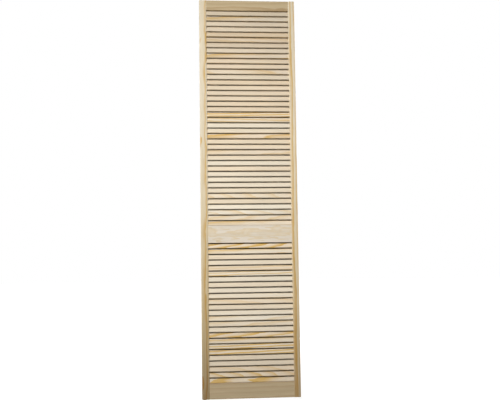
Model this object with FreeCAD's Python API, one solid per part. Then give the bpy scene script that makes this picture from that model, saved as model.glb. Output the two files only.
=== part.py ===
"""One leaf of a folding closet door, with fixed open slats.

The leaf has two stiles, three rails and two panels of slanted slats housed in the stiles.
It pivots on two pins at its left edge: a sprung one above and a fixed one below.
Three butt hinges on the back of its right stile carry the next leaf and lie folded shut.
X runs across the leaf, +Y away from the room and +Z up, in millimetres.
The origin is the middle of the leaf's bottom edge, halfway through its thickness.
"""
import FreeCAD
import Part
import math
import os

# ---- the leaf ----
leaf_height = 2013.0
leaf_width = 490.0
leaf_thickness = 28.0
outer_arris_radius = 1.5

# ---- stiles: the left one carries the pivots, the right one the hinges ----
pivot_stile_width = 36.0
hinge_stile_width = 32.0
moulding_width = 8.0
moulding_depth = 3.0

# ---- rails: their faces meet the foot of the stile's moulding ----
top_rail_height = 50.5
middle_rail_height = 86.0
bottom_rail_height = 77.5
middle_rail_centre = 813.0
rail_arris_radius = 1.0

# ---- slats ----
upper_slat_count = 40
lower_slat_count = 25
slats_per_group = 2
slat_width = 38.0
slat_thickness = 6.0
slat_angle = 62.0
slat_setback = 0.5
slat_housing_depth = 8.0
slat_housing_room = 0.1
slat_end_room = 0.5
slat_rail_room = 0.5
slat_rest_gap = 0.2

# ---- dowels between rails and stiles ----
dowel_radius = 4.0
dowel_in_stile = 13.0
dowel_in_rail = 27.0
dowel_room = 0.05
dowel_end_room = 0.5
dowel_edge_distance = 12.5

# ---- pivots in the left stile ----
pivot_inset = 13.0
pin_room = 0.05

top_sleeve_radius = 4.75
top_sleeve_length = 48.0
top_sleeve_bore_radius = 3.85
top_flange_radius = 8.0
top_flange_thickness = 1.2
top_mouth_depth = 3.0
sleeve_floor = 1.5
top_pin_radius = 3.0
top_pin_neck_radius = 3.2
top_pin_neck_rise = 0.5
top_pin_collar_length = 6.0
top_pin_collar_gap = 0.1
top_pin_reach = 14.0
top_pin_stem_radius = 2.2
top_pin_stem_length = 14.0
pin_tip_chamfer = 1.0
spring_wire_radius = 0.42
spring_coil_radius = 3.15
spring_pitch = 4.0
spring_end_gap = 0.05

bottom_sleeve_radius = 5.45
bottom_sleeve_length = 46.0
bottom_flange_radius = 9.0
bottom_flange_thickness = 1.5
bottom_pin_radius = 4.0
bottom_pin_tip_radius = 3.75
bottom_pin_in_sleeve = 40.0
bottom_pin_reach = 24.0
nut_across_flats = 13.0
nut_height = 6.0
nut_gap = 0.1
nut_step = 0.5
bore_room = 0.05
bore_end_room = 2.0

# ---- hinges on the back of the right stile ----
hinge_top_distance = 180.0
hinge_bottom_distance = 230.0
hinge_length = 60.0
hinge_leaf_width = 24.0
hinge_leaf_thickness = 2.0
hinge_pin_radius = 1.5
hinge_pin_head_radius = 2.6
hinge_pin_head_height = 1.0
hinge_knuckle_count = 5
hinge_knuckle_gap = 0.3
hinge_axis_overhang = 1.0
hinge_corner_radius = 4.0

# ---- hinge screws ----
screw_length = 16.0
screw_radius = 1.7
screw_head_radius = 3.1
screw_hole_room = 0.2
screw_pilot_room = 0.05
screw_point_length = 4.0
screw_point_radius = 0.3
screw_spacing = 44.0
screw_near_distance = 9.5
screw_far_distance = 17.0
screw_recess_length = 3.2
screw_recess_width = 0.8
screw_recess_depth = 1.0

# ---- what follows from the sizes above ----
half_width = leaf_width / 2
half_thickness = leaf_thickness / 2
opening_left_x = pivot_stile_width - half_width
opening_right_x = half_width - hinge_stile_width
rail_face_y = moulding_depth - half_thickness
middle_rail_bottom = middle_rail_centre - middle_rail_height / 2
middle_rail_top = middle_rail_centre + middle_rail_height / 2
top_rail_bottom = leaf_height - top_rail_height

slat_radius = slat_thickness / 2
slat_core = slat_width - slat_thickness
slat_run = slat_core * math.cos(math.radians(slat_angle))
slat_rise = slat_core * math.sin(math.radians(slat_angle))
slat_nose_y = rail_face_y + slat_setback + slat_radius
slat_inset = slat_housing_depth - slat_end_room
upper_pitch = (top_rail_bottom - middle_rail_top) / upper_slat_count
lower_pitch = (middle_rail_bottom - bottom_rail_height) / lower_slat_count

pivot_x = pivot_inset - half_width
top_flange_top = leaf_height + top_flange_thickness
top_mouth_bottom = top_flange_top - top_mouth_depth
top_sleeve_bottom = leaf_height - top_sleeve_length
top_collar_top = top_mouth_bottom - top_pin_collar_gap
top_collar_bottom = top_collar_top - top_pin_collar_length
top_pin_top = top_flange_top + top_pin_reach
nut_top = -bottom_flange_thickness - nut_gap
nut_bottom = nut_top - nut_height

knuckle_radius = hinge_pin_radius + pin_room + hinge_leaf_thickness
hinge_axis_x = half_width + hinge_axis_overhang
hinge_axis_y = half_thickness + knuckle_radius
hinge_heights = {
    "top": leaf_height - hinge_top_distance,
    "middle": (leaf_height - hinge_top_distance + hinge_bottom_distance) / 2,
    "bottom": hinge_bottom_distance,
}

UP = FreeCAD.Vector(0, 0, 1)
RIGHT = FreeCAD.Vector(1, 0, 0)
BACK = FreeCAD.Vector(0, 1, 0)


def point(x, y, z):
    return FreeCAD.Vector(x, y, z)


def box(low, high):
    """A block between two opposite corners."""
    size = high - low
    return Part.makeBox(size.x, size.y, size.z, low)


def upright(radius, x, y, bottom, top):
    """A round bar that stands along Z."""
    return Part.makeCylinder(radius, top - bottom, point(x, y, bottom), UP)


def save(name, solids):
    """Writes one node, as one solid or as a group of like solids."""
    shape = solids[0] if len(solids) == 1 else Part.makeCompound(solids)
    shape.exportStep(f"parts/{name}.step")


def slat_outline(nose_y, nose_z, room):
    """The slat's section in the YZ plane: two half rounds joined by slanted flats."""
    radius = slat_radius + room
    angle = math.radians(slat_angle)
    across = point(0, -math.sin(angle), math.cos(angle)) * radius
    along = point(0, math.cos(angle), math.sin(angle)) * radius
    nose = point(0, nose_y, nose_z)
    crest = nose + point(0, slat_run, slat_rise)
    edges = [
        Part.LineSegment(nose + across, crest + across).toShape(),
        Part.Arc(crest + across, crest + along, crest - across).toShape(),
        Part.LineSegment(crest - across, nose - across).toShape(),
        Part.Arc(nose - across, nose - along, nose + across).toShape(),
    ]
    return Part.Face(Part.Wire(edges))


def slat(nose_z, inset, room):
    """A slat that reaches this far into each stile; room makes it fatter all round."""
    outline = slat_outline(slat_nose_y, nose_z, room)
    outline.translate(RIGHT * (opening_left_x - inset))
    return outline.extrude(RIGHT * (opening_right_x - opening_left_x + 2 * inset))


def slat_heights(opening_bottom, pitch, count):
    """Heights of the slats' nose centres, from the top slat down."""
    lowest = opening_bottom + slat_radius + slat_rest_gap
    return [lowest + pitch * (count - 1 - number) for number in range(count)]


def rebate_size(pitch):
    """The rebate behind a rail's lower edge that clears the crest of the slat below it.

    Returns the depth coordinate of the rebate's front wall, and its height.
    """
    nose_drop = pitch - slat_radius - slat_rest_gap
    angle = math.radians(slat_angle)
    climb = (nose_drop - slat_radius * math.cos(angle)) / math.sin(angle)
    crossing_y = slat_nose_y + climb * math.cos(angle) - slat_radius * math.sin(angle)
    height = slat_rise + slat_radius - nose_drop + slat_rail_room
    return crossing_y - slat_rail_room, height


def rail(bottom, top, pitch_below):
    """A rail between the stiles; pitch_below is None where no slat lies under it."""
    blank = box(
        point(opening_left_x, rail_face_y, bottom), point(opening_right_x, -rail_face_y, top)
    )
    long_edges = [edge for edge in blank.Edges if edge.Length > top - bottom + leaf_thickness]
    blank = blank.makeFillet(rail_arris_radius, long_edges)
    if pitch_below is None:
        return blank
    wall_y, height = rebate_size(pitch_below)
    return blank.cut(
        box(
            point(-half_width, wall_y, bottom - slat_rail_room),
            point(half_width, half_thickness, bottom + height),
        )
    )


def dowel_heights(bottom, top, pitch_below):
    """Each rail end has two dowels, one near each edge of its full thickness."""
    rebate = 0.0 if pitch_below is None else rebate_size(pitch_below)[1]
    return [bottom + rebate + dowel_edge_distance, top - dowel_edge_distance]


def dowel(side, height, room, end_room):
    """A dowel across the joint between a rail's end and a stile."""
    joint_x = opening_left_x if side < 0 else opening_right_x
    start = joint_x - side * (dowel_in_rail + end_room)
    length = dowel_in_rail + dowel_in_stile + 2 * end_room
    return Part.makeCylinder(dowel_radius + room, length, point(start, 0, height), RIGHT * side)


def stile_blank(side, width):
    """The stile's section, moulded along both inner arrises, carried up the leaf."""
    inner = half_width - width
    moulding_radius = (moulding_width**2 + moulding_depth**2) / (2 * moulding_depth)
    half_turn = math.asin(moulding_width / moulding_radius) / 2
    arc_in = moulding_radius * math.sin(half_turn)
    arc_drop = moulding_radius * (1 - math.cos(half_turn))
    moulding_start = inner + moulding_width
    corner = outer_arris_radius * (1 - math.sqrt(0.5))

    def at(x, y):
        return point(side * x, y, 0)

    def moulded(direction):
        return [
            at(moulding_start, direction * half_thickness),
            at(moulding_start - arc_in, direction * (half_thickness - arc_drop)),
            at(inner, direction * (half_thickness - moulding_depth)),
        ]

    def rounded(direction):
        return [
            at(half_width - outer_arris_radius, direction * half_thickness),
            at(half_width - corner, direction * (half_thickness - corner)),
            at(half_width, direction * (half_thickness - outer_arris_radius)),
        ]

    arcs = [moulded(-1), moulded(1)[::-1], rounded(1), rounded(-1)[::-1]]
    edges = []
    for number, arc in enumerate(arcs):
        edges.append(Part.Arc(*arc).toShape())
        following = arcs[(number + 1) % len(arcs)]
        edges.append(Part.LineSegment(arc[-1], following[0]).toShape())
    return Part.Face(Part.Wire(edges)).extrude(UP * leaf_height)


def tapered(radius_low, radius_high, x, y, bottom, top):
    """A cone along Z, for the chamfered end of a pin."""
    return Part.makeCone(radius_low, radius_high, top - bottom, point(x, y, bottom), UP)


def top_pivot_sleeve():
    """A plastic sleeve pressed into the stile's end; its narrow mouth keeps the pin in."""
    body = upright(top_sleeve_radius, pivot_x, 0, top_sleeve_bottom, leaf_height)
    flange = upright(top_flange_radius, pivot_x, 0, leaf_height, top_flange_top)
    floor = top_sleeve_bottom + sleeve_floor
    well = upright(top_sleeve_bore_radius, pivot_x, 0, floor, top_mouth_bottom)
    mouth_radius = top_pin_neck_radius + pin_room
    mouth = upright(mouth_radius, pivot_x, 0, top_mouth_bottom, top_flange_top)
    return body.fuse(flange).cut([well, mouth]).removeSplitter()


def top_pivot_pin():
    """A steel pin: stem inside the spring, collar under the mouth, neck and free end."""
    neck_top = top_flange_top + top_pin_neck_rise
    chamfer_start = top_pin_top - pin_tip_chamfer
    stem_bottom = top_collar_bottom - top_pin_stem_length
    collar_radius = top_sleeve_bore_radius - pin_room
    stem = upright(top_pin_stem_radius, pivot_x, 0, stem_bottom, top_collar_bottom)
    collar = upright(collar_radius, pivot_x, 0, top_collar_bottom, top_collar_top)
    neck = upright(top_pin_neck_radius, pivot_x, 0, top_collar_top, neck_top)
    end = upright(top_pin_radius, pivot_x, 0, neck_top, chamfer_start)
    tip_radius = top_pin_radius - pin_tip_chamfer
    tip = tapered(top_pin_radius, tip_radius, pivot_x, 0, chamfer_start, top_pin_top)
    return stem.fuse([collar, neck, end, tip]).removeSplitter()


def top_pivot_spring():
    """A coil spring between the sleeve's floor and the pin's collar."""
    margin = spring_wire_radius + spring_end_gap
    bottom = top_sleeve_bottom + sleeve_floor + margin
    height = top_collar_bottom - margin - bottom
    path = Part.makeHelix(spring_pitch, height, spring_coil_radius)
    climb = point(0, 2 * math.pi * spring_coil_radius, spring_pitch)
    ring = Part.makeCircle(spring_wire_radius, point(spring_coil_radius, 0, 0), climb)
    coil = Part.Wire(path).makePipeShell([Part.Wire(ring)], True, True)
    coil.translate(point(pivot_x, 0, bottom))
    return coil


def bottom_pivot_sleeve():
    """A plastic sleeve with a flange that bears on the adjusting nut."""
    body = upright(bottom_sleeve_radius, pivot_x, 0, 0, bottom_sleeve_length)
    flange = upright(bottom_flange_radius, pivot_x, 0, -bottom_flange_thickness, 0)
    bore_radius = bottom_pin_radius + pin_room
    bore = upright(bore_radius, pivot_x, 0, -bottom_flange_thickness, bottom_sleeve_length)
    return body.fuse(flange).cut(bore).removeSplitter()


def bottom_pivot_pin():
    """A steel pin through sleeve and nut, with a slightly thinner free end below."""
    step = nut_bottom - nut_step
    low = -bottom_pin_reach
    high = bottom_pin_in_sleeve
    shank = upright(bottom_pin_radius, pivot_x, 0, step, high - pin_tip_chamfer)
    end = upright(bottom_pin_tip_radius, pivot_x, 0, low + pin_tip_chamfer, step)
    shank_point = bottom_pin_radius - pin_tip_chamfer
    end_point = bottom_pin_tip_radius - pin_tip_chamfer
    crown = tapered(bottom_pin_radius, shank_point, pivot_x, 0, high - pin_tip_chamfer, high)
    foot = tapered(end_point, bottom_pin_tip_radius, pivot_x, 0, low, low + pin_tip_chamfer)
    return shank.fuse([end, crown, foot]).removeSplitter()


def bottom_pivot_nut():
    """A hexagon nut on the pin, just under the sleeve's flange."""
    corner_radius = nut_across_flats / 2 / math.cos(math.pi / 6)
    corners = []
    for number in range(7):
        angle = number * math.pi / 3
        corners.append(
            point(
                pivot_x + corner_radius * math.cos(angle),
                corner_radius * math.sin(angle),
                nut_bottom,
            )
        )
    blank = Part.Face(Part.makePolygon(corners)).extrude(UP * nut_height)
    bore = upright(bottom_pin_radius + pin_room, pivot_x, 0, nut_bottom, nut_top)
    return blank.cut(bore)


def screw_places(height, free):
    """The three screws of a hinge leaf, in a zigzag that is opposite on the two leaves."""
    end_distance = screw_near_distance if free else screw_far_distance
    middle_distance = screw_far_distance if free else screw_near_distance
    return [
        (hinge_axis_x - end_distance, height - screw_spacing / 2),
        (hinge_axis_x - middle_distance, height),
        (hinge_axis_x - end_distance, height + screw_spacing / 2),
    ]


def countersunk(radius, head_radius, face_y, shank_end_y, x, z):
    """A countersunk bar along Y whose widest end lies in the plane face_y."""
    inward = BACK * math.copysign(1, shank_end_y - face_y)
    depth = head_radius - radius
    head = Part.makeCone(head_radius, radius, depth, point(x, face_y, z), inward)
    neck = point(x, face_y, z) + inward * depth
    length = abs(shank_end_y - face_y) - depth
    return head.fuse(Part.makeCylinder(radius, length, neck, inward)).removeSplitter()


def hinge_leaf(height, free):
    """A leaf with its rolled knuckles; the free one lies folded over the fixed one."""
    bottom = height - hinge_length / 2
    top = height + hinge_length / 2
    near = hinge_axis_x - hinge_pin_radius / 2
    far = hinge_axis_x - hinge_leaf_width
    low_y = hinge_axis_y - knuckle_radius
    plate = box(point(far, low_y, bottom), point(near, low_y + hinge_leaf_thickness, top))
    corners = [
        edge
        for edge in plate.Edges
        if all(abs(vertex.X - far) < 1e-6 for vertex in edge.Vertexes)
        and abs(edge.Vertexes[0].Z - edge.Vertexes[1].Z) < 1e-6
    ]
    plate = plate.makeFillet(hinge_corner_radius, corners)
    step = hinge_length / hinge_knuckle_count
    half_gap = hinge_knuckle_gap / 2
    notch_x = hinge_axis_x - knuckle_radius - hinge_knuckle_gap
    knuckles = []
    notches = []
    for number in range(hinge_knuckle_count):
        low = bottom + number * step
        high = low + step
        if (number % 2 == 1) == free:
            low_end = low + half_gap if number > 0 else low
            high_end = high - half_gap if number < hinge_knuckle_count - 1 else high
            knuckles.append(upright(knuckle_radius, hinge_axis_x, hinge_axis_y, low_end, high_end))
        else:
            notches.append(
                box(
                    point(notch_x, low_y - hinge_knuckle_gap, low - half_gap),
                    point(hinge_axis_x, hinge_axis_y, high + half_gap),
                )
            )
    bore = upright(hinge_pin_radius + pin_room, hinge_axis_x, hinge_axis_y, bottom, top)
    holes = [
        countersunk(
            screw_radius + screw_hole_room,
            screw_head_radius + screw_hole_room,
            low_y + hinge_leaf_thickness,
            low_y,
            x,
            z,
        )
        for x, z in screw_places(height, free)
    ]
    leaf = plate.cut(notches).fuse(knuckles).cut([bore] + holes).removeSplitter()
    if free:
        return leaf.mirror(point(hinge_axis_x, hinge_axis_y, height), BACK)
    return leaf


def hinge_pin(height):
    """The riveted pin that both leaves turn on."""
    bottom = height - hinge_length / 2 - pin_room
    top = height + hinge_length / 2 + pin_room
    x, y = hinge_axis_x, hinge_axis_y
    shank = upright(hinge_pin_radius, x, y, bottom, top)
    low_head = upright(hinge_pin_head_radius, x, y, bottom - hinge_pin_head_height, bottom)
    high_head = upright(hinge_pin_head_radius, x, y, top, top + hinge_pin_head_height)
    return shank.fuse([low_head, high_head]).removeSplitter()


def hinge_screw(x, z):
    """A countersunk wood screw through the fixed leaf into the stile."""
    face_y = half_thickness + hinge_leaf_thickness
    point_y = face_y - screw_length
    shank_end_y = point_y + screw_point_length
    shank = countersunk(screw_radius, screw_head_radius, face_y, shank_end_y, x, z)
    tip = Part.makeCone(
        screw_radius, screw_point_radius, screw_point_length, point(x, shank_end_y, z), -BACK
    )
    slots = []
    for half_x, half_z in (
        (screw_recess_length / 2, screw_recess_width / 2),
        (screw_recess_width / 2, screw_recess_length / 2),
    ):
        slots.append(
            box(
                point(x - half_x, face_y - screw_recess_depth, z - half_z),
                point(x + half_x, face_y + screw_recess_depth, z + half_z),
            )
        )
    return shank.fuse(tip).cut(slots).removeSplitter()


def screw_pilot(x, z):
    """The hole in the stile that a hinge screw is driven into."""
    depth = screw_length - hinge_leaf_thickness + screw_point_radius
    start = point(x, half_thickness, z)
    return Part.makeCylinder(screw_radius + screw_pilot_room, depth, start, -BACK)


os.makedirs("parts", exist_ok=True)

upper_noses = slat_heights(middle_rail_top, upper_pitch, upper_slat_count)
lower_noses = slat_heights(bottom_rail_height, lower_pitch, lower_slat_count)
all_noses = upper_noses + lower_noses
housings = [slat(nose, slat_housing_depth, slat_housing_room) for nose in all_noses]

rails = {
    "top_rail": (top_rail_bottom, leaf_height, upper_pitch),
    "middle_rail": (middle_rail_bottom, middle_rail_top, lower_pitch),
    "bottom_rail": (0.0, bottom_rail_height, None),
}

# rails and their dowels
dowel_holes = {-1: [], 1: []}
for name, (bottom, top, pitch_below) in rails.items():
    dowels = []
    rail_holes = []
    for side in (-1, 1):
        for height in dowel_heights(bottom, top, pitch_below):
            hole = dowel(side, height, dowel_room, dowel_end_room)
            dowels.append(dowel(side, height, 0.0, 0.0))
            rail_holes.append(hole)
            dowel_holes[side].append(hole)
    save(name, [rail(bottom, top, pitch_below).cut(rail_holes)])
    save(f"{name}_dowels", dowels)

# stiles: the left one takes the pivots, the right one the hinge screws
top_bore = upright(
    top_sleeve_radius + bore_room, pivot_x, 0, top_sleeve_bottom - bore_end_room, leaf_height
)
bottom_bore = upright(
    bottom_sleeve_radius + bore_room, pivot_x, 0, 0, bottom_sleeve_length + bore_end_room
)
left_stile = stile_blank(-1, pivot_stile_width)
save("left_stile", [left_stile.cut(housings + dowel_holes[-1] + [top_bore, bottom_bore])])

screws = [place for height in hinge_heights.values() for place in screw_places(height, False)]
pilots = [screw_pilot(x, z) for x, z in screws]
right_stile = stile_blank(1, hinge_stile_width)
save("right_stile", [right_stile.cut(housings + dowel_holes[1] + pilots)])

# slats, in groups counted from the top of each panel
for panel, noses in (("upper", upper_noses), ("lower", lower_noses)):
    for first in range(0, len(noses), slats_per_group):
        group = noses[first : first + slats_per_group]
        numbers = "_".join(f"{first + 1 + offset:02d}" for offset in range(len(group)))
        save(f"{panel}_slats_{numbers}", [slat(nose, slat_inset, 0.0) for nose in group])

# pivots
save("top_pivot_sleeve", [top_pivot_sleeve()])
save("top_pivot_spring", [top_pivot_spring()])
save("top_pivot_pin", [top_pivot_pin()])
save("bottom_pivot_sleeve", [bottom_pivot_sleeve()])
save("bottom_pivot_pin", [bottom_pivot_pin()])
save("bottom_pivot_nut", [bottom_pivot_nut()])

# hinges
for name, height in hinge_heights.items():
    save(f"{name}_hinge_fixed_leaf", [hinge_leaf(height, False)])
    save(f"{name}_hinge_free_leaf", [hinge_leaf(height, True)])
    save(f"{name}_hinge_pin", [hinge_pin(height)])
save("hinge_screws", [hinge_screw(x, z) for x, z in screws])
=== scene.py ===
"""A folding closet door leaf in clear pine, dressed around its CAD frame.

The stiles, rails, dowels, hinge leaves, sleeves and sprung pin keep their CAD shape and get
their finish here. The slats, the coil spring, the threaded pin, its nut, the hinge pins and the
screws are replaced by finer surfaces in the same places. Lengths are in metres. X runs across
the leaf, +Y away from the room and +Z up.
"""
import math

import bpy
import numpy as np
from bpy.props import FloatProperty, FloatVectorProperty, IntProperty, PointerProperty
from mathutils import Matrix, Vector


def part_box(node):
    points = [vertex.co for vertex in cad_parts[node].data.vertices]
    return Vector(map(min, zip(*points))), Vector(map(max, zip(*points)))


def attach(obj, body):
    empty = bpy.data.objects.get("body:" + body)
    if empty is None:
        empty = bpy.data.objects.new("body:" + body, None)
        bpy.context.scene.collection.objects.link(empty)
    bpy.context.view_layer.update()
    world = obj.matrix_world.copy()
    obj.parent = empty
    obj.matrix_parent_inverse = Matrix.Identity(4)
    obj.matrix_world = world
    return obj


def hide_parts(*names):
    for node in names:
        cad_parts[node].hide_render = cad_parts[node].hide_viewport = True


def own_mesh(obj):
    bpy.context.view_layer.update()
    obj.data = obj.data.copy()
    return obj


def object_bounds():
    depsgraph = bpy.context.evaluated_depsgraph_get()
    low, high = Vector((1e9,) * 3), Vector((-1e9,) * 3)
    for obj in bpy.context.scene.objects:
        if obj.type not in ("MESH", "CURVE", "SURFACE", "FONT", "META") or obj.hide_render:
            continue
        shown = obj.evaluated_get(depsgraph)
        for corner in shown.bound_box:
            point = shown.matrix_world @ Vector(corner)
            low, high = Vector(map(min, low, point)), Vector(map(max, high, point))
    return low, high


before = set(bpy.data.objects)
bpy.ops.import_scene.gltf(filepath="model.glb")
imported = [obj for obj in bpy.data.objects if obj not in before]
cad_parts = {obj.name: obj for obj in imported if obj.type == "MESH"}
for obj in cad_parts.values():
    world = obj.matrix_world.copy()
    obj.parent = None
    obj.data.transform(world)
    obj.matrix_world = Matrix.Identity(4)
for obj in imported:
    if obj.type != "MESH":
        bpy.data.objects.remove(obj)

bl_info = {
    "name": "Louvred Closet Door Leaf",
    "version": (1, 0, 0),
    "blender": (4, 5, 0),
    "location": "3D View > Sidebar > Closet Door",
    "description": "Slats, frame, pivots and hinges of one folding closet door leaf",
    "category": "Add Mesh",
}

CAD_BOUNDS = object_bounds()

# Where each board's tree had its pith, which way the trunk ran, and how wide its rings are.
# The pith is a point in the leaf, in metres. Figure is how strongly the late wood shows. The
# rings wander by waviness, in rings, in slow waves of which there are so many to the metre, and
# by ripple in short ones. Painted foot shade is how strongly painted shade darkens a stile
# towards its foot.
BOARDS = {
    "left_stile": dict(
        grain="Z", pith=(-0.243, 0.036, 1.0), run=(0.0020, 0.0, 1.0), ring=0.0070,
        figure=1.5, waviness=1.5, waves=5.0, ripple=0.8, painted_foot_shade=1.0,
    ),
    "right_stile": dict(
        grain="Z", pith=(0.217, 0.038, 1.0), run=(-0.0030, 0.0, 1.0), ring=0.0060,
        figure=1.4, waviness=1.0, waves=2.5, ripple=0.4, painted_foot_shade=0.75,
    ),
    "top_rail": dict(
        grain="X", pith=(0.05, 0.045, 1.950), run=(1.0, 0.045, 0.08), ring=0.0160,
        figure=1.1, waviness=1.6, waves=3.5, ripple=0.5,
    ),
    "middle_rail": dict(
        grain="X", pith=(0.0, 0.2513, 0.815), run=(1.0, 0.0, 0.0), ring=0.0060,
        figure=0.85, waviness=1.2, waves=16.0, ripple=1.6,
    ),
    "bottom_rail": dict(
        grain="X", pith=(0.0, 0.049, -0.045), run=(1.0, 0.0, 0.012), ring=0.0200,
        figure=0.60, waviness=0.3, waves=3.0, ripple=0.3,
    ),
}

# How the late wood lies on the flat-sawn slats, which show it as broad flames. The slats are
# listed by panel and by number from its top. The late wood stands darkest at a place along the
# slat's middle line, and the next year's follows so far along the slat and so far across its
# face. Where the second value is negative it fades out to the right, else to the left. The last
# one is how strongly it shows, in one of three grades.
FAINT, CLEAR, STRONG = 0.6, 1.2, 2.0
FLAT_SAWN = {
    "upper": {
        2: (-0.19, -0.60, 0.05, CLEAR),
        6: (0.15, 0.45, 0.025, FAINT),
        9: (-0.17, -0.60, 0.04, CLEAR),
        12: (0.06, 0.30, 0.05, FAINT),
        20: (-0.15, -0.45, 0.015, STRONG),
        21: (0.0, 0.50, 0.018, CLEAR),
        24: (-0.17, -0.37, 0.04, CLEAR),
        27: (-0.20, -0.50, 0.04, FAINT),
        35: (0.0, 0.12, 0.04, FAINT),
        38: (0.05, 0.14, 0.03, FAINT),
        39: (0.0, -0.16, 0.04, FAINT),
        40: (-0.15, -0.90, 0.03, CLEAR),
    },
    "lower": {
        1: (-0.17, 0.12, -0.03, STRONG),
        2: (-0.15, -0.80, 0.03, CLEAR),
        5: (0.19, 0.50, -0.02, FAINT),
        6: (-0.02, 0.50, -0.015, CLEAR),
        11: (0.18, 0.35, 0.03, FAINT),
        14: (-0.18, -0.40, 0.03, FAINT),
        15: (-0.20, -0.30, 0.03, FAINT),
        17: (-0.11, 0.155, -0.03, STRONG),
        18: (-0.10, -0.90, 0.03, CLEAR),
        19: (0.06, 0.40, -0.015, STRONG),
        20: (-0.15, -0.35, 0.015, STRONG),
        23: (0.10, 0.20, 0.03, FAINT),
        24: (0.0, 0.09, 0.03, CLEAR),
        25: (-0.15, -0.21, 0.05, STRONG),
    },
}
LATE = 0.85  # about where in a year ring the middle of its dark band lies
PLAIN_WAVINESS, FLAT_WAVINESS = 0.8, 0.5  # how far the rings of the slats wander, in rings
LOG_SPACING = 3.7  # metres along the trunk from one slat to the next, so that their noise differs
FOOT_SHADE_TOP = 1.3  # height in metres at which a stile's painted shade ends
SHIN_SHARE = 0.385  # share of that height at which its second colour stands
FOOT_SHADE_FRINGE = 0.45  # height in metres over which its edge is ragged
CREASE = math.radians(32.0)  # angle from which an edge of a new surface looks sharp

# What changes along each panel, at its first slat, a little before its middle and at its last:
# lightness, which is painted light and shade, warmth of the wood, and how strongly shade is
# painted deep between the slats.
PANEL_KNOTS = (0.0, 0.45, 1.0)
PANEL_WOOD_AND_SHADE = {
    "upper": dict(
        count=40, painted_light_and_tone=(0.89, 0.97, 0.95), warmth=(0.7, 0.45, 0.15), painted_shade=(0.25, 0.55, 0.7)
    ),
    "lower": dict(
        count=25, painted_light_and_tone=(0.96, 0.96, 0.885), warmth=(0.55, 0.3, 0.8), painted_shade=(1.0, 0.85, 0.85)
    ),
}


# ---- what a user may change ----


def setting(kind, **details):
    """Returns a maker of settings of one kind, from their title, description and default."""

    def make(title, description, default):
        return kind(name=title, description=description, default=default, **details)

    return make


plain = setting(FloatProperty)
whole = setting(IntProperty)
metres = setting(FloatProperty, unit="LENGTH")
radians = setting(FloatProperty, subtype="ANGLE")
watts = setting(FloatProperty, unit="POWER")
rgb = setting(FloatVectorProperty, subtype="COLOR_GAMMA", size=3)
spot = setting(FloatVectorProperty, subtype="TRANSLATION", unit="LENGTH", size=3)


def degrees(title, description, default):
    """A setting for an angle, whose default is given in degrees."""
    return radians(title, description, math.radians(default))


class SlatSettings(bpy.types.PropertyGroup):
    """Sizes of the slats and how far they stray from straight."""

    width: metres("Width", "From a slat's front edge to its back edge", 0.038)
    thickness: metres("Thickness", "Between a slat's two flats", 0.006)
    angle: degrees("Angle", "Angle of a slat above the horizontal", 62.0)
    bow: metres("Bow", "Most that the middle of a slat may stand off its line", 0.0006)
    turn: degrees("Turn", "Most that a slat may be turned out of its angle", 0.6)
    ring: metres("Ring width", "Width of a year ring in the plain slats", 0.0065)
    wide_ring: metres("Wide ring", "Width of a year ring in the flat-sawn slats", 0.009)
    # Where the painted shade deep between the slats starts, and how far it takes to set in.
    painted_shade_start: metres("Dust start", "From a slat's middle to where its dust starts", 0.004)
    painted_shade_fade: metres("Dust fade", "How far it takes the dust to set in", 0.003)
    seed: whole("Seed", "Start of the random choice of wood for each slat", 11)


class PineSettings(bpy.types.PropertyGroup):
    """Colours of the bare pine. Early wood is the pale part of a year ring and late the dark."""

    slat_early: rgb("Slat", "Early wood of the slats", (0.930, 0.892, 0.815))
    slat_warm: rgb("Warm slat", "Early wood of the yellower slats", (0.920, 0.845, 0.735))
    slat_late: rgb("Slat, late", "Late wood of the slats", (0.845, 0.690, 0.380))
    stile_early: rgb("Stile", "Early wood of the stiles", (0.930, 0.880, 0.775))
    stile_late: rgb("Stile, late", "Late wood of the stiles", (0.850, 0.700, 0.430))
    top_rail: rgb("Top rail", "Early wood of the top rail", (0.805, 0.722, 0.568))
    top_rail_late: rgb("Top rail, late", "Late wood of the top rail", (0.690, 0.575, 0.405))
    middle_rail: rgb("Middle rail", "Early wood of the middle rail", (0.924, 0.878, 0.808))
    middle_rail_late: rgb("Middle rail, late", "Its late wood", (0.890, 0.802, 0.640))
    bottom_rail: rgb("Bottom rail", "Early wood of the bottom rail", (0.785, 0.705, 0.565))
    bottom_rail_late: rgb("Bottom rail, late", "Its late wood", (0.680, 0.550, 0.410))
    # Foot and shin are painted shade: they darken a stile's colour towards its foot.
    foot: rgb("Foot", "What a stile's colour is multiplied by at its foot", (0.69, 0.63, 0.54))
    shin: rgb("Shin", "The same for half a metre above the foot", (0.91, 0.87, 0.78))


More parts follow.
